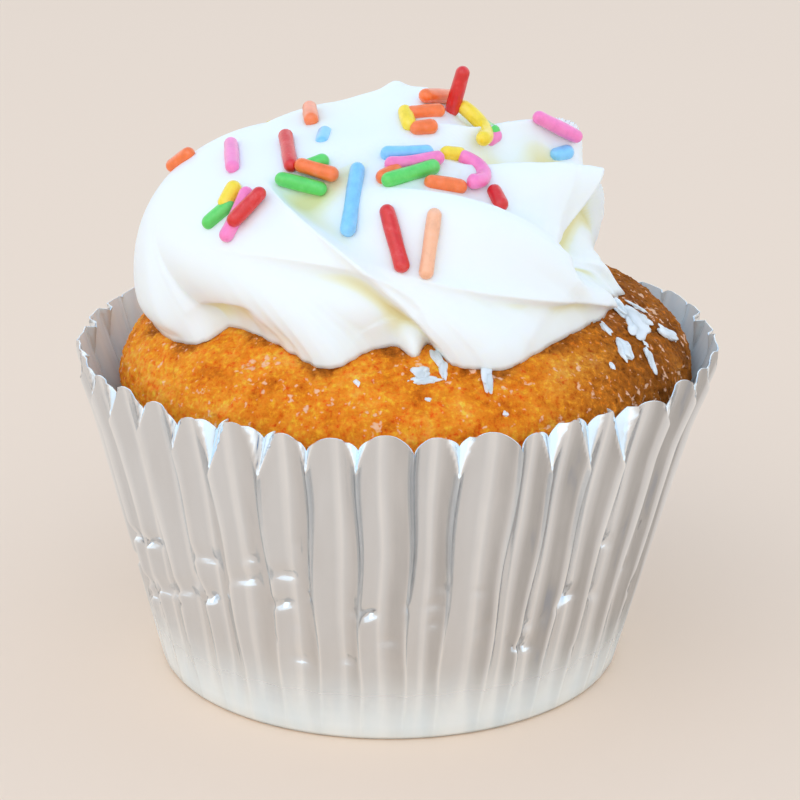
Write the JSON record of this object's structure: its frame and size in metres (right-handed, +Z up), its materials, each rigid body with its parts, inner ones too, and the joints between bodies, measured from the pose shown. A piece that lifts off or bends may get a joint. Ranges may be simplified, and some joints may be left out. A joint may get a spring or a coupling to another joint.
{
  "type": "frosted cupcake in a foil case",
  "caption": "Baked golden cupcake in a pleated foil case, topped with a piped buttercream swirl and rod-shaped sugar sprinkles.",
  "frame": {"origin": "centre of the case's flat base, on the surface that it stands on", "axes": "+Z up through the swirl's top, -Y towards the front, +X to the right of the front view"},
  "size_m": [0.0705, 0.0693, 0.0674],
  "materials": {
    "foil": "bright crumpled foil, pleated",
    "cake_crumb": "golden baked crumb, finely pitted",
    "buttercream": "smooth satin cream"
  },
  "bodies": {
    "root": {"foil_case": "foil", "cake": "cake_crumb", "buttercream": "buttercream"}
  },
  "joints": []
}
